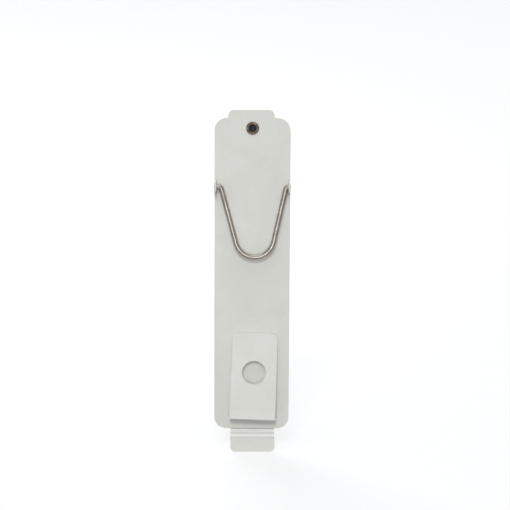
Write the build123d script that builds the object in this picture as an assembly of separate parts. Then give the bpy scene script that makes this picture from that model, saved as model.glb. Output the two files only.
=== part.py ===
from build123d import *
import math
import os

# Bracket that holds a small upright water bottle against a tank wall or a wire cage.
# Frame: +Z up, -Y towards the bottle, +X to the right seen from the bottle.
# Origin: centre of the underside of the hanger clip's bridge, where it sits on the wall's rim.

# ---- Driving dimensions, in millimetres and degrees ----

sheet = 1.2                  # thickness of every sheet metal piece
edge_round = 0.4             # rounding that the powder coat gives each sheet edge
bend_inner = 0.4             # inside radius of the small folded ears

# Hanger clip: an inverted U that goes over a wall
wall_gap = 16.0              # thickest rim that fits under the bridge
clip_width = 28.8
clip_bend_inner = 2.0        # inside radius of the two bends of the bridge
clip_foot_length = 17.5      # how far the riveted foot reaches down
clip_foot_radius = 3.0
flex_line_y = 4.0            # line across the bridge where the leg's flex is taken
flex_gap = 0.1

# Back plate
plate_width = 50.8
plate_shoulder_z = -1.4
plate_bottom_z = -212.8
left_shoulder_radius = 8.0
right_shoulder_radius = 8.9
bottom_radius = 8.0
tab_width = 30.9
tab_middle_x = -0.8          # the tab is struck a little off centre
tab_top_z = 3.9              # high enough to hide the clip's bend
tab_radius = 3.8
tab_root_radius = 0.9

# Semi-tubular rivet through the plate and the clip's foot, rolled over on the front
rivet_z = -8.3
rivet_bore_radius = 1.9
rivet_bore_depth = 2.9
rivet_wall = 0.45
rivet_flange_radius = 4.3
rivet_flange_height = 0.9
rivet_roll = 0.75            # share of the flange's height that is rolled round
rivet_mouth_round = 1.2      # the bore opens out to the crown of the roll
rivet_hole_clearance = 0.05

# Wire bail in two ears at the plate's side edges
wire_radius = 1.75
bail_pivot_z = -47.4
bail_standoff = 3.2          # pivot axis in front of the plate's face
bail_left_x = -21.0          # where the left leg would meet the pivot line
bail_right_x = 22.6          # the loop hangs a little to the right
bail_apex_x = 2.84           # where the two legs would meet if they ran on
bail_apex_drop = 88.6
bail_end_bend = 2.0
bail_bottom_bend = 13.0
bail_tip_x = 25.7
bail_ear_height = 10.0
bail_ear_reach = 6.6
bail_ear_radius = 3.3
bail_ear_root = 3.0          # strip of the plate that the ear's fold takes
bail_hole_clearance = 0.1
wire_end_round = 0.5

# Folding shelf with the hole for the drinking tube
shelf_axis_x = 0.6           # the hinge is set a little off centre
shelf_axis_z = -202.2
shelf_axis_standoff = 3.4    # hinge axis in front of the plate's face
shelf_plate_offset = 2.5     # shelf's back face in front of the hinge axis
shelf_length_up = 55.9       # from the hinge axis to the free edge
shelf_lip_down = 3.0         # from the hinge axis to the edge that stops on the plate
shelf_kink_up = 2.6          # bend line of the lip above the hinge axis
shelf_kink_out = 0.6         # how far the lip's edge leans out
shelf_kink_radius = 3.0
shelf_free_width = 30.4
shelf_root_width = 31.2
shelf_free_radius = 5.0
shelf_lip_radius = 0.7
tube_hole_radius = 8.0
tube_hole_up = 28.8          # from the hinge axis to the tube hole's centre
shelf_slant = 5.6            # folded up, the free edge leans back onto the plate
shelf_lean = 2.0            # the whole hinge sits slightly askew on the plate

# Shelf hinge: two ears lanced from the plate inside two ears of the shelf, on one pin
pin_radius = 1.0
pin_head_radius = 1.6
pin_head_height = 0.4
hinge_ear_radius = 2.2
hinge_ear_rise = 4.5         # height of each ear's root above the axis
hinge_side_gap = 0.3
hinge_running_clearance = 0.05
hinge_fixed_clearance = 0.01
lance_root = 3.0             # strip of the plate that the lanced ear's fold takes
lance_window_length = 6.4
lance_window_margin = 0.3

# Finger tab at the leg's lower end
leg_gap_to_plate = 0.35      # the leg all but touches the plate's lower edge
tab_slant = 5.0
finger_tab_bottom_z = -228.35
finger_tab_radius = 3.6
finger_tab_left_x = -14.4
finger_tab_right_x = 15.9    # the leg widens and runs a little to the right on its way down
tab_bend_inner = 0.3
tab_jogs = [                 # how far forward of the leg, and how far below the plate
    (0.0, 0.8),
    (2.1, 0.95),             # ledge that passes under the plate's lower edge
    (3.3, 2.4),              # upper slope
    (3.15, 3.7),
    (4.0, 5.2),              # lower slope
    (3.9, 6.3),
]

# ---- Places worked out from them ----

foot_back_y = -wall_gap / 2
plate_back_y = foot_back_y - sheet
plate_front_y = plate_back_y - sheet
bail_axis_y = plate_front_y - bail_standoff
shelf_axis_y = plate_front_y - shelf_axis_standoff
half_width = plate_width / 2
rivet_hole_radius = rivet_bore_radius + rivet_wall + rivet_hole_clearance
hinge_ear_x = shelf_root_width / 2 - 2 * sheet - hinge_side_gap


def box_between(corner, opposite):
    """A box given by two opposite corners."""
    size = [abs(b - a) for a, b in zip(corner, opposite)]
    centre = [(a + b) / 2 for a, b in zip(corner, opposite)]
    return Pos(*centre) * Box(*size)


def round_sheet_edges(solid, along):
    """Round the outline of a flat sheet on both of its faces."""
    faces = solid.faces().sort_by(along)
    outline = faces[0].edges() + faces[-1].edges()
    return fillet(outline, edge_round)


def plate_outline():
    """Flat outline of the plate: a long strip with a narrower tab on top."""
    height = plate_shoulder_z - plate_bottom_z
    strip = Pos(0, (plate_shoulder_z + plate_bottom_z) / 2) * Rectangle(plate_width, height)
    strip = fillet(strip.vertices().group_by(Axis.Y)[0], bottom_radius)
    for end, radius in ((0, left_shoulder_radius), (-1, right_shoulder_radius)):
        corner = strip.vertices().group_by(Axis.Y)[-1].sort_by(Axis.X)[end]
        strip = fillet(corner, radius)
    tab_root_z = plate_shoulder_z - right_shoulder_radius
    tab_height = tab_top_z - tab_root_z
    tab = Pos(tab_middle_x, (tab_top_z + tab_root_z) / 2) * Rectangle(tab_width, tab_height)
    tab = fillet(tab.vertices().group_by(Axis.Y)[-1], tab_radius)
    outline = strip + tab
    for side_x in (tab_middle_x - tab_width / 2, tab_middle_x + tab_width / 2):
        root = outline.vertices().sort_by_distance((side_x, plate_shoulder_z))[0]
        outline = fillet(root, tab_root_radius)
    return outline


def bent_sheet(points, radii):
    """Section of a bent sheet, drawn along the middle of its thickness."""
    return trace(FilletPolyline(*points, radius=radii), line_width=sheet)


def folded_ear(root_x, outer_x, front_y, low_z, height):
    """An ear folded forward from the plate's sheet, still with square corners."""
    side = math.copysign(1, outer_x - root_x)
    middle_x = outer_x - side * sheet / 2
    middle_y = plate_front_y + sheet / 2
    points = [(root_x, middle_y), (middle_x, middle_y), (middle_x, front_y)]
    section = bent_sheet(points, bend_inner + sheet / 2)
    return extrude(Pos(0, 0, low_z) * section, height, dir=(0, 0, 1))


def rod_along_x(radius, from_x, to_x, y, z):
    """A round rod parallel to X."""
    return Pos((from_x + to_x) / 2, y, z) * Rot(0, 90, 0) * Cylinder(radius, abs(to_x - from_x))


def add_bail_ear(plate, side):
    """Fold one ear forward from the plate's edge and pierce it for the bail's end."""
    low_z = bail_pivot_z - bail_ear_height / 2
    high_z = bail_pivot_z + bail_ear_height / 2
    front_y = plate_front_y - bail_ear_reach
    root_x = side * (half_width - bail_ear_root)
    past_edge_x = side * (half_width + 1)
    ear = folded_ear(root_x, side * half_width, front_y, low_z, bail_ear_height)
    nose = Rectangle(2 * bail_ear_reach, bail_ear_height)
    nose = fillet(nose.vertices(), bail_ear_radius)
    nose = Plane.YZ * (Pos(plate_front_y, bail_pivot_z) * nose)
    ear = ear & extrude(nose, half_width + 1, both=True)
    hole_radius = wire_radius + bail_hole_clearance
    hole = rod_along_x(hole_radius, root_x, past_edge_x, bail_axis_y, bail_pivot_z)
    room = box_between((root_x, plate_front_y - 1, low_z), (past_edge_x, plate_back_y + 1, high_z))
    return plate - room + (ear - hole)


def hinge_ear_side(root_y, nose_way, axis_y, axis_z):
    """Side view of a hinge ear: a flat lower edge, a round nose and a rising upper edge."""
    nose_y = axis_y + nose_way * hinge_ear_radius
    lower = Line((root_y, axis_z - hinge_ear_radius), (axis_y, axis_z - hinge_ear_radius))
    nose = ThreePointArc((axis_y, axis_z - hinge_ear_radius), (nose_y, axis_z),
                         (axis_y, axis_z + hinge_ear_radius))
    upper = Line((axis_y, axis_z + hinge_ear_radius), (root_y, axis_z + hinge_ear_rise))
    root = Line((root_y, axis_z + hinge_ear_rise), (root_y, axis_z - hinge_ear_radius))
    return Plane.YZ * make_face(Curve() + [lower, nose, upper, root])


def add_lanced_ear(plate, side):
    """Lance one hinge ear out of the plate, which leaves a window beside it."""
    low_z = shelf_axis_z - hinge_ear_radius
    high_z = shelf_axis_z + hinge_ear_rise
    window_low_z = low_z - lance_window_margin
    window_high_z = high_z + lance_window_margin
    outer_x = side * hinge_ear_x
    fold_x = side * (hinge_ear_x + bend_inner + sheet)
    root_x = side * (hinge_ear_x + lance_root)
    window_x = side * (hinge_ear_x - lance_window_length)
    front_y = shelf_axis_y - hinge_ear_radius
    ear = folded_ear(root_x, outer_x, front_y, low_z, high_z - low_z)
    nose = hinge_ear_side(plate_back_y, -1, shelf_axis_y, shelf_axis_z)
    ear = ear & extrude(nose, half_width, both=True)
    hole_radius = pin_radius + hinge_running_clearance
    hole = rod_along_x(hole_radius, window_x, root_x, shelf_axis_y, shelf_axis_z)
    window = box_between((window_x, plate_front_y - 1, window_low_z),
                         (root_x, plate_back_y + 1, window_high_z))
    flat_strip = box_between((fold_x, plate_front_y, window_low_z),
                             (root_x, plate_back_y, window_high_z))
    place = hinge_place() * Pos(0, -shelf_axis_y, -shelf_axis_z)
    return plate - place * window + place * (flat_strip + (ear - hole))


def hinge_place():
    """Where the middle of the hinge axis sits, with the small turn that the hinge is set at."""
    return Pos(shelf_axis_x, shelf_axis_y, shelf_axis_z) * Rot(0, shelf_lean, 0)


def make_back_plate():
    plate = extrude(Plane.XZ.offset(-plate_back_y) * plate_outline(), sheet)
    plate = round_sheet_edges(plate, Axis.Y)
    for side in (-1, 1):
        plate = add_bail_ear(plate, side)
        plate = add_lanced_ear(plate, side)
    bore = Pos(0, plate_back_y, rivet_z) * Rot(90, 0, 0) * Cylinder(rivet_hole_radius, 4 * sheet)
    return plate - bore


def make_clip_foot():
    """The clip's fixed part: riveted foot, front bend and bridge up to the flex line."""
    foot_y = foot_back_y - sheet / 2
    bridge_z = sheet / 2
    points = [(foot_y, -clip_foot_length), (foot_y, bridge_z), (flex_line_y, bridge_z)]
    section = Plane.YZ * bent_sheet(points, clip_bend_inner + sheet / 2)
    clip = extrude(section, clip_width / 2, both=True)
    lower = clip.edges().filter_by(Axis.Y).group_by(Axis.Z)[0]
    clip = fillet(lower, clip_foot_radius)
    bore = Pos(0, foot_back_y, rivet_z) * Rot(90, 0, 0) * Cylinder(rivet_hole_radius, 4 * sheet)
    return clip - bore


def make_clip_leg():
    """The clip's springy rear leg, with the finger tab that jogs forward under the plate."""
    bridge_z = sheet / 2
    top_y = foot_back_y + wall_gap + sheet / 2
    leg_y = plate_back_y + leg_gap_to_plate + sheet / 2
    jogs = [(leg_y - forward, plate_bottom_z - below) for forward, below in tab_jogs]
    tab_drop = jogs[-1][1] - finger_tab_bottom_z
    tab_end = (jogs[-1][0] - tab_drop * math.tan(math.radians(tab_slant)), finger_tab_bottom_z)
    points = [(flex_line_y + flex_gap, bridge_z), (top_y, bridge_z), *jogs, tab_end]
    radii = [clip_bend_inner + sheet / 2] + [tab_bend_inner + sheet / 2] * len(jogs)
    leg = extrude(Plane.YZ * bent_sheet(points, radii), half_width, both=True)
    sides = Polyline((-clip_width / 2, sheet), (clip_width / 2, sheet),
                     (finger_tab_right_x, finger_tab_bottom_z - sheet),
                     (finger_tab_left_x, finger_tab_bottom_z - sheet), close=True)
    leg = leg & extrude(Plane.XZ * make_face(sides), 2 * wall_gap, both=True)
    corners = leg.edges().filter_by(Axis.X, reverse=True).group_by(Axis.Z)[0]
    return fillet(corners, finger_tab_radius)


def make_rivet():
    """Semi-tubular rivet: a blind bore opens into a rolled flange, with a round head behind."""
    front_y = plate_front_y - rivet_flange_height
    back_y = foot_back_y + rivet_flange_height
    length = back_y - front_y
    seat = rivet_flange_height
    shank = rivet_bore_radius + rivet_wall
    corners = [(0, 0), (rivet_flange_radius, 0), (rivet_flange_radius, seat), (shank, seat),
               (shank, length - seat), (rivet_flange_radius, length - seat),
               (rivet_flange_radius, length), (rivet_bore_radius, length),
               (rivet_bore_radius, length - rivet_bore_depth), (0, length - rivet_bore_depth)]
    profile = make_face(Polyline(*corners, close=True))
    for row in (0, -1):
        rim = profile.vertices().group_by(Axis.Y)[row].sort_by(Axis.X)[-1]
        profile = fillet(rim, rivet_flange_height * rivet_roll)
    mouth = profile.vertices().group_by(Axis.Y)[-1].sort_by(Axis.X)[0]
    profile = fillet(mouth, rivet_mouth_round)
    return Pos(0, back_y, rivet_z) * Rot(180, 0, 0) * revolve(profile, Axis.Y)


def make_bail():
    """Round wire bent to a V with a round bottom, its ends turned out into the ears."""
    corners = [(-bail_tip_x, 0), (bail_left_x, 0), (bail_apex_x, -bail_apex_drop),
               (bail_right_x, 0), (bail_tip_x, 0)]
    route = FilletPolyline(*corners, radius=[bail_end_bend, bail_bottom_bend, bail_end_bend])
    place = Plane.XZ.offset(-bail_axis_y) * Pos(0, bail_pivot_z)
    route = place * route
    section = Plane(origin=route @ 0, z_dir=route % 0) * Circle(wire_radius)
    wire = sweep(section, path=route)
    tips = wire.faces().filter_by(Axis.X).edges()
    return fillet(tips, wire_end_round)


def shelf_outline():
    """Flat outline of the shelf in its own frame, hinge axis at the origin."""
    corners = [(-shelf_root_width / 2, -shelf_lip_down), (shelf_root_width / 2, -shelf_lip_down),
               (shelf_free_width / 2, shelf_length_up), (-shelf_free_width / 2, shelf_length_up)]
    outline = make_face(Polyline(*corners, close=True))
    outline = fillet(outline.vertices().group_by(Axis.Y)[-1], shelf_free_radius)
    return fillet(outline.vertices().group_by(Axis.Y)[0], shelf_lip_radius)


def make_shelf():
    """Shelf with its kinked lip, two folded hinge ears and the tube hole."""
    middle_y = -shelf_plate_offset - sheet / 2
    points = [(middle_y, shelf_length_up), (middle_y, shelf_kink_up),
              (middle_y - shelf_kink_out, -shelf_lip_down)]
    strip = extrude(Plane.YZ * bent_sheet(points, shelf_kink_radius), shelf_root_width / 2, both=True)
    reach = 10 * sheet
    strip = strip & extrude(Plane.XZ * shelf_outline(), reach, both=True)
    ear_side = extrude(hinge_ear_side(-shelf_plate_offset - sheet / 2, 1, 0, 0), sheet)
    for outer_x in (-shelf_root_width / 2, shelf_root_width / 2 - sheet):
        strip = strip + Pos(outer_x, 0, 0) * ear_side
    strip = strip - rod_along_x(pin_radius + hinge_fixed_clearance, -half_width, half_width, 0, 0)
    return strip - Pos(0, 0, tube_hole_up) * Rot(90, 0, 0) * Cylinder(tube_hole_radius, reach)


def make_pin():
    """Hinge pin with a small peened head outside each shelf ear."""
    reach = shelf_root_width / 2
    pin = rod_along_x(pin_radius, -reach, reach, 0, 0)
    for low_x in (-reach - pin_head_height, reach):
        pin = pin + rod_along_x(pin_head_radius, low_x, low_x + pin_head_height, 0, 0)
    return pin


def place_folded(piece):
    """Put a piece from the shelf's own frame onto the hinge, folded up against the plate."""
    return hinge_place() * Rot(-shelf_slant, 0, 0) * piece


os.makedirs("parts", exist_ok=True)
nodes = {
    "back_plate": make_back_plate(),
    "hanger_clip": make_clip_foot(),
    "hanger_clip_leg": make_clip_leg(),
    "tubular_rivet": make_rivet(),
    "wire_bail": make_bail(),
    "bottle_shelf": place_folded(make_shelf()),
    "shelf_hinge_pin": place_folded(make_pin()),
}
for name, solid in nodes.items():
    export_step(solid, f"parts/{name}.step")
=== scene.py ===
import math

import bmesh
import bpy
from mathutils import Matrix, Vector


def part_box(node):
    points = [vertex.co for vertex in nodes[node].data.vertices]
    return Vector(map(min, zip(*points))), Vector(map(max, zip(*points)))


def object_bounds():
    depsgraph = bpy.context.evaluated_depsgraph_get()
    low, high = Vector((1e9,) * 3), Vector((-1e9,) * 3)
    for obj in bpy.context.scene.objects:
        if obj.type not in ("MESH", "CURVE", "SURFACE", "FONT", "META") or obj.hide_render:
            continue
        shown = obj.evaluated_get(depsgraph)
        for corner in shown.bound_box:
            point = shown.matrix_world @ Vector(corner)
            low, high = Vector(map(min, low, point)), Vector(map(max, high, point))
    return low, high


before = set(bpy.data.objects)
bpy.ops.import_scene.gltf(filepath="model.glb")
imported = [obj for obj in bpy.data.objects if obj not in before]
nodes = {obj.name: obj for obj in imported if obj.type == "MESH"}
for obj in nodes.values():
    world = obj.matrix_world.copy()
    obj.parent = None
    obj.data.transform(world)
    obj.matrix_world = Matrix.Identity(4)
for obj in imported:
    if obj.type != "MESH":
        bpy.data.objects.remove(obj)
cad_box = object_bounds()

scene = bpy.context.scene

# ---- Picture and camera ----

LENS = 71.98                    # millimetres
SENSOR_WIDTH = 36.0             # millimetres
CAMERA_AT = (0.00197, -0.6964, -0.0286)
CAMERA_PITCH = 84.61            # degrees; 90 would look level along +Y
CAMERA_ROLL = 0.267

# ---- Stage and lights, in metres and watts ----

STAGE_FLAT = 1.1                # radius of the flat floor
STAGE_SWEEP = 0.7               # radius of the curve from floor to wall
STAGE_RISE = 1.6                # height of the wall above the curve
SWEEP_STEPS = 16                # straight steps in the curve
TURN_STEPS = 96                 # steps round the bowl
WELD_DISTANCE = 1e-6
STAGE_COLOUR = (0.42, 0.425, 0.43)
STAGE_GLOW = 0.62               # light of its own, which only the camera sees
WORLD_STRENGTH = 0.33
LIGHTS = {
    # name: place, width, height, power, whether it shows in reflections
    "key_light": ((-0.30, -3.49, 2.24), 1.1, 0.9, 64.0, False),
    "front_light": ((-0.05, -1.15, -0.17), 0.36, 0.40, 1.75, True),
    "top_light": ((-0.15, -0.90, 2.40), 1.8, 1.2, 12.0, True),
    "back_light": ((-0.60, 1.60, 0.90), 1.3, 1.1, 17.0, True),
}

# ---- Places on the object, in metres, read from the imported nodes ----

rivet_low, rivet_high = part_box("tubular_rivet")
rivet_centre = (rivet_low + rivet_high) / 2


# Heights of the finger tab's two sloping bends, under the plate's lower edge, where the leg's
# coat carries a painted highlight
plate_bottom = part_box("back_plate")[0].z
finger_bend_highlights = [
    (plate_bottom - 0.0020, plate_bottom - 0.0002),
    (plate_bottom - 0.0051, plate_bottom - 0.0034),
]

# ---- Finishes: scales in noise cells per metre, relief in metres ----

COAT_CLOUDS = 22.0
COAT_MOTTLE = 230.0
COAT_EDGE_WEAR = 160.0
COAT_NIBS = 210.0
COAT_GLOSS = 65.0
SHEET_WAVES = 60.0
ORANGE_PEEL = 760.0
SHEET_WAVE_RELIEF = 0.00009
ORANGE_PEEL_RELIEF = 0.000028
NIB_RELIEF = 0.00006
BAND_FADE = 0.0002              # half the width of a painted highlight band's soft edge
COAT_IOR = 1.5
PLATE_COAT = (0.775, 0.78, 0.735)
# Shelf and leg: the same white coat as the plate, made lighter as painted light
SHELF_COAT_PAINTED_LIGHT = (0.785, 0.79, 0.745)
LEG_COAT_PAINTED_LIGHT = (0.80, 0.805, 0.76)
# colour of the painted highlight on the finger tab's bends
HIGHLIGHT_BAND_COAT = (0.95, 0.95, 0.93)

WIRE_MARKS = 45.0
WIRE_MARKS_ROUND = 9.0          # marks from the front of the wire to its side
WIRE_TARNISH = 130.0
WIRE_RELIEF = 0.000008

RIVET_RINGS = 5200.0
RIVET_RINGS_DEEP = 2600.0
RIVET_WOBBLE = 240.0
RIVET_PATINA = 520.0
RIVET_RELIEF = 0.000025
BORE_EDGE = (0.0021, 0.0029)    # from the bore's painted shade to the open flange, by radius

PIN_CRYSTALS = 1500.0
PIN_TURNING = 4200.0
PIN_RELIEF = 0.00001

PAPER_GRAIN = 900.0
PAPER_RELIEF = 0.00001

# ---- Node helpers ----

class Shader:
    """One material's node tree, with short calls for the nodes used here."""

    def __init__(self, name):
        self.material = bpy.data.materials.new(name)
        self.material.use_nodes = True
        self.tree = self.material.node_tree
        self.bsdf = self.tree.nodes["Principled BSDF"]
        self.coordinates = self.tree.nodes.new("ShaderNodeTexCoord")
        self.place = self.coordinates.outputs["Object"]
        self.normal = self.coordinates.outputs["Normal"]

    def put(self, socket, value):
        """Link an output to an input, or set the input to a plain value."""
        if isinstance(value, bpy.types.NodeSocket):
            self.tree.links.new(value, socket)
        else:
            socket.default_value = value

    def maths(self, operation, a, b=0.0, clamp=False):
        node = self.tree.nodes.new("ShaderNodeMath")
        node.operation = operation
        node.use_clamp = clamp
        self.put(node.inputs[0], a)
        self.put(node.inputs[1], b)
        return node.outputs[0]

    def vector_maths(self, operation, a, b=(0.0, 0.0, 0.0)):
        node = self.tree.nodes.new("ShaderNodeVectorMath")
        node.operation = operation
        self.put(node.inputs[0], a)
        self.put(node.inputs[1], b)
        return node.outputs["Value" if operation in ("LENGTH", "DOT_PRODUCT") else "Vector"]

    def split(self, vector):
        node = self.tree.nodes.new("ShaderNodeSeparateXYZ")
        self.put(node.inputs[0], vector)
        return node.outputs

    def join(self, x, y, z):
        node = self.tree.nodes.new("ShaderNodeCombineXYZ")
        for socket, value in zip(node.inputs, (x, y, z)):
            self.put(socket, value)
        return node.outputs[0]

    def noise(self, vector, scale, detail=2.0, roughness=0.5, offset=(0.0, 0.0, 0.0)):
        node = self.tree.nodes.new("ShaderNodeTexNoise")
        self.put(node.inputs["Vector"], self.vector_maths("ADD", vector, offset))
        node.inputs["Scale"].default_value = scale
        node.inputs["Detail"].default_value = detail
        node.inputs["Roughness"].default_value = roughness
        return node.outputs["Fac"]

    def cells(self, vector, scale, offset=(0.0, 0.0, 0.0)):
        """Distance to the nearest scattered point, and a random number for that point."""
        node = self.tree.nodes.new("ShaderNodeTexVoronoi")
        self.put(node.inputs["Vector"], self.vector_maths("ADD", vector, offset))
        node.inputs["Scale"].default_value = scale
        return node.outputs["Distance"], self.split(node.outputs["Color"])[0]

    def ramp(self, value, low, high, to_low=0.0, to_high=1.0):
        """Smooth step of a value between two limits."""
        node = self.tree.nodes.new("ShaderNodeMapRange")
        node.interpolation_type = "SMOOTHSTEP"
        node.clamp = True
        self.put(node.inputs["Value"], value)
        self.put(node.inputs["From Min"], low)
        self.put(node.inputs["From Max"], high)
        self.put(node.inputs["To Min"], to_low)
        self.put(node.inputs["To Max"], to_high)
        return node.outputs["Result"]

    def blend(self, share, a, b):
        """Mix two colours by a share from 0 to 1."""
        node = self.tree.nodes.new("ShaderNodeMix")
        node.data_type = "RGBA"
        self.put(node.inputs["Factor"], share)
        self.put(node.inputs[6], a)
        self.put(node.inputs[7], b)
        return node.outputs[2]

    def bump(self, height, distance, under=None):
        node = self.tree.nodes.new("ShaderNodeBump")
        node.inputs["Distance"].default_value = distance
        self.put(node.inputs["Height"], height)
        if under is not None:
            self.put(node.inputs["Normal"], under)
        return node.outputs[0]

    def use(self, **values):
        """Set the surface's own inputs by name, with _ for a space."""
        for name, value in values.items():
            self.put(self.bsdf.inputs[name.replace("_", " ")], value)
        return self.material


def opaque(red, green, blue):
    return (red, green, blue, 1.0)


def scaled(colour, red, green, blue):
    """A colour with each of its channels multiplied."""
    return opaque(colour[0] * red, colour[1] * green, colour[2] * blue)


# ---- Materials ----

def powder_coat(name, seed, colour, highlight_bands=()):
    """White powder coat on sheet steel, with orange peel, thinner edges and a few nibs.

    Each band, from one height to another, is painted paler as a highlight, and is made
    smoother.
    """
    s = Shader(name)
    offset = (seed, seed * 0.7, -seed)
    # Tone: broad clouds of coat thickness and a finer mottle
    clouds = s.noise(s.place, COAT_CLOUDS, 2.0, 0.5, offset)
    mottle = s.noise(s.place, COAT_MOTTLE, 3.0, 0.6, offset)
    tone = s.maths("ADD", s.maths("MULTIPLY", clouds, 0.65), s.maths("MULTIPLY", mottle, 0.35))
    light = scaled(colour, 1.02, 1.02, 1.02)
    shade = scaled(colour, 0.965, 0.968, 0.955)
    tinted = s.blend(s.ramp(tone, 0.36, 0.64), shade, light)
    # Edges: the coat draws thin over the rounded edge of the sheet
    facing = s.maths("ABSOLUTE", s.split(s.normal)[1])
    edge = s.ramp(facing, 0.45, 0.75, 1.0, 0.0)
    wear = s.ramp(s.noise(s.place, COAT_EDGE_WEAR, 3.0, 0.6, offset), 0.3, 0.7, 0.35, 1.0)
    thin = s.maths("MULTIPLY", edge, wear)
    thin_colour = scaled(colour, 0.88, 0.885, 0.88)
    edged = s.blend(s.maths("MULTIPLY", thin, 0.6), tinted, thin_colour)
    # Nibs: a few specks of dust cured into the coat
    distance, chance = s.cells(s.place, COAT_NIBS, offset)
    speck = s.ramp(distance, 0.035, 0.075, 1.0, 0.0)
    nib = s.maths("MULTIPLY", speck, s.ramp(chance, 0.86, 0.87))
    speck_colour = scaled(colour, 0.62, 0.6, 0.55)
    final = s.blend(s.maths("MULTIPLY", nib, 0.55), edged, speck_colour)
    # Roughness: gloss wanders with the coat, and the edges flow out smoother
    gloss = s.ramp(s.noise(s.place, COAT_GLOSS, 3.0, 0.55, offset), 0.3, 0.7, 0.33, 0.43)
    rough = s.maths("SUBTRACT", gloss, s.maths("MULTIPLY", thin, 0.07))
    # Painted highlight bands: a paler colour, and smoother
    height = s.split(s.place)[2]
    for low, high in highlight_bands:
        above = s.ramp(height, low - BAND_FADE, low + BAND_FADE)
        below = s.ramp(height, high - BAND_FADE, high + BAND_FADE, 1.0, 0.0)
        highlight_band = s.maths("MULTIPLY", above, below)
        final = s.blend(highlight_band, final, opaque(*HIGHLIGHT_BAND_COAT))
        rough = s.maths("SUBTRACT", rough, s.maths("MULTIPLY", highlight_band, 0.1))
    # Relief: slight waves of the sheet, orange peel, and the nibs
    waves = s.bump(s.noise(s.place, SHEET_WAVES, 1.0, 0.4, offset), SHEET_WAVE_RELIEF)
    peel_height = s.noise(s.place, ORANGE_PEEL, 2.0, 0.45, offset)
    peel = s.bump(peel_height, ORANGE_PEEL_RELIEF, waves)
    relief = s.bump(nib, NIB_RELIEF, peel)
    return s.use(Base_Color=final, Roughness=rough, Normal=relief, IOR=COAT_IOR)


def drawn_wire(name):
    """Nickel-plated drawn wire: fine marks along its length and a faint bronze tarnish."""
    s = Shader(name)
    around = s.split(s.normal)[1]
    along = s.vector_maths("MULTIPLY", s.place, (WIRE_MARKS, WIRE_MARKS, WIRE_MARKS))
    turned = s.join(0.0, s.maths("MULTIPLY", around, WIRE_MARKS_ROUND), 0.0)
    marks_at = s.vector_maths("ADD", along, turned)
    marks = s.noise(marks_at, 1.0, 4.0, 0.65)
    tarnish = s.noise(s.place, WIRE_TARNISH, 4.0, 0.6, (0.3, 0.0, 0.2))
    clean = opaque(0.60, 0.57, 0.50)
    dull = opaque(0.50, 0.455, 0.385)
    colour = s.blend(s.ramp(tarnish, 0.42, 0.68, 0.0, 0.75), clean, dull)
    streaked = s.blend(s.ramp(marks, 0.5, 0.72, 0.0, 0.35), colour, opaque(0.40, 0.375, 0.325))
    worn = s.ramp(tarnish, 0.4, 0.7, 0.0, 0.08)
    rough = s.maths("ADD", s.ramp(marks, 0.3, 0.7, 0.27, 0.36), worn)
    relief = s.bump(marks, WIRE_RELIEF)
    return s.use(Base_Color=streaked, Metallic=1.0, Roughness=rough, Normal=relief)


def rolled_bronze(name):
    """Dull bronze rivet: rings left by the rolling die, rubbed bright on the crown."""
    s = Shader(name)
    centred = s.vector_maths("SUBTRACT", s.place, tuple(rivet_centre))
    x, y, z = s.split(centred)
    radius = s.vector_maths("LENGTH", s.join(x, 0.0, z))
    across = s.maths("MULTIPLY", radius, RIVET_RINGS)
    deep = s.maths("MULTIPLY", y, RIVET_RINGS_DEEP)
    rings_at = s.join(across, deep, 0.0)
    wobble = s.vector_maths("MULTIPLY", centred, (RIVET_WOBBLE, RIVET_WOBBLE, RIVET_WOBBLE))
    rings = s.noise(s.vector_maths("ADD", rings_at, wobble), 1.0, 3.0, 0.6)
    patina = s.noise(s.place, RIVET_PATINA, 4.0, 0.65)
    rubbed = opaque(0.31, 0.252, 0.185)
    aged = opaque(0.155, 0.128, 0.094)
    colour = s.blend(s.ramp(patina, 0.38, 0.66), rubbed, aged)
    ringed = s.blend(s.ramp(rings, 0.5, 0.75, 0.0, 0.4), colour, opaque(0.10, 0.08, 0.06))
    # Painted shade: the bore is coloured dark and bluish, and made rougher
    bore_painted_shade = s.ramp(radius, *BORE_EDGE, 1.0, 0.0)
    shown = s.blend(bore_painted_shade, ringed, opaque(0.085, 0.098, 0.10))
    crown_rough = s.ramp(patina, 0.35, 0.7, 0.38, 0.52)
    rough = s.maths("ADD", crown_rough, s.maths("MULTIPLY", bore_painted_shade, 0.15))
    relief = s.bump(rings, RIVET_RELIEF)
    return s.use(Base_Color=shown, Metallic=1.0, Roughness=rough, Normal=relief)


def zinc(name):
    """Zinc-plated pin: a pale grey crystal mottle and fine turning marks."""
    s = Shader(name)
    distance, chance = s.cells(s.place, PIN_CRYSTALS)
    dark = opaque(0.55, 0.56, 0.56)
    pale = opaque(0.68, 0.69, 0.68)
    grey = s.blend(s.ramp(chance, 0.0, 1.0), dark, pale)
    x, y, z = s.split(s.place)
    turned = s.noise(s.join(s.maths("MULTIPLY", x, PIN_TURNING), y, z), 1.0, 3.0, 0.6)
    marked = s.blend(s.ramp(turned, 0.5, 0.75, 0.0, 0.3), grey, opaque(0.42, 0.42, 0.41))
    uneven = s.maths("ADD", turned, s.maths("MULTIPLY", distance, 0.2))
    rough = s.ramp(uneven, 0.3, 0.8, 0.28, 0.45)
    relief = s.bump(turned, PIN_RELIEF)
    return s.use(Base_Color=marked, Metallic=1.0, Roughness=rough, Normal=relief)


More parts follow.
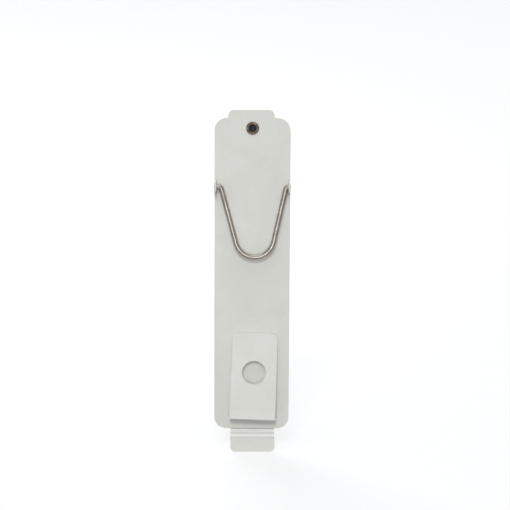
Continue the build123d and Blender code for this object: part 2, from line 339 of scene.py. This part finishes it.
finishes = {
    "back_plate": powder_coat("coated_plate_finish", 0.0, PLATE_COAT),
    "hanger_clip": powder_coat("coated_clip_finish", 0.37, PLATE_COAT),
    "hanger_clip_leg": powder_coat("coated_leg_finish", 0.81, LEG_COAT_PAINTED_LIGHT, finger_bend_highlights),
    "bottle_shelf": powder_coat("coated_shelf_finish", 1.23, SHELF_COAT_PAINTED_LIGHT),
    "tubular_rivet": rolled_bronze("rivet_finish"),
    "wire_bail": drawn_wire("wire_finish"),
    "shelf_hinge_pin": zinc("pin_finish"),
}
for node_name, finish in finishes.items():
    nodes[node_name].material_slots[0].material = finish

# ---- Stage: a pale floor that sweeps up into a wall all round ----

def stage_finish():
    """Pale paper with a fine grain and a glow of its own."""
    s = Shader("stage_paper")
    grain = s.noise(s.place, PAPER_GRAIN, 3.0, 0.6)
    darker = scaled(STAGE_COLOUR, 0.99, 0.99, 0.99)
    paper = s.blend(s.ramp(grain, 0.3, 0.7), darker, opaque(*STAGE_COLOUR))
    relief = s.bump(grain, PAPER_RELIEF)
    glow = opaque(0.985, 0.99, 1.0)
    s.use(Base_Color=paper, Roughness=0.9, Normal=relief)
    return s.use(Emission_Color=glow, Emission_Strength=STAGE_GLOW)


def make_stage(floor_z):
    """A bowl turned from one profile, open at the top, which only the camera sees."""
    profile = [(0.0, 0.0), (STAGE_FLAT, 0.0)]
    for step in range(1, SWEEP_STEPS + 1):
        turn = math.radians(90.0 * step / SWEEP_STEPS)
        out = STAGE_FLAT + STAGE_SWEEP * math.sin(turn)
        profile.append((out, STAGE_SWEEP * (1 - math.cos(turn))))
    profile.append((STAGE_FLAT + STAGE_SWEEP, STAGE_SWEEP + STAGE_RISE))
    mesh = bmesh.new()
    points = [mesh.verts.new((r, 0.0, floor_z + z)) for r, z in profile]
    edges = [mesh.edges.new(pair) for pair in zip(points, points[1:])]
    bmesh.ops.spin(
        mesh, geom=points + edges, cent=(0, 0, 0), axis=(0, 0, 1),
        angle=math.tau, steps=TURN_STEPS,
    )
    bmesh.ops.remove_doubles(mesh, verts=mesh.verts, dist=WELD_DISTANCE)
    bmesh.ops.recalc_face_normals(mesh, faces=mesh.faces)
    data = bpy.data.meshes.new("stage_sweep")
    mesh.to_mesh(data)
    mesh.free()
    for polygon in data.polygons:
        polygon.use_smooth = True
    data.materials.append(stage_finish())
    sweep = bpy.data.objects.new("stage_sweep", data)
    sweep.visible_diffuse = False
    sweep.visible_glossy = False
    sweep.visible_shadow = False
    scene.collection.objects.link(sweep)


make_stage(cad_box[0].z)

# ---- Lights ----

middle = (cad_box[0] + cad_box[1]) / 2


def soft_light(name, place, width, height, power, reflected):
    """A soft box aimed at the middle of the object."""
    data = bpy.data.lights.new(name, "AREA")
    data.shape = "RECTANGLE"
    data.size = width
    data.size_y = height
    data.energy = power
    lamp = bpy.data.objects.new(name, data)
    lamp.location = place
    lamp.rotation_mode = "QUATERNION"
    lamp.rotation_quaternion = (middle - Vector(place)).to_track_quat("-Z", "Y")
    lamp.visible_camera = False
    lamp.visible_glossy = reflected
    scene.collection.objects.link(lamp)


for light_name, settings in LIGHTS.items():
    soft_light(light_name, *settings)

world = bpy.data.worlds.new("studio")
world.use_nodes = True
background = world.node_tree.nodes["Background"]
background.inputs["Color"].default_value = opaque(1.0, 1.0, 1.0)
background.inputs["Strength"].default_value = WORLD_STRENGTH
scene.world = world
scene.view_settings.view_transform = "Standard"

# ---- Camera ----

camera_data = bpy.data.cameras.new("camera")
camera_data.lens = LENS
camera_data.sensor_width = SENSOR_WIDTH
camera_data.clip_start = 0.01
camera_data.clip_end = 20.0
camera = bpy.data.objects.new("camera", camera_data)
pitch = Matrix.Rotation(math.radians(CAMERA_PITCH), 4, "X")
roll = Matrix.Rotation(math.radians(CAMERA_ROLL), 4, "Z")
camera.matrix_world = Matrix.Translation(CAMERA_AT) @ pitch @ roll
scene.collection.objects.link(camera)
scene.camera = camera
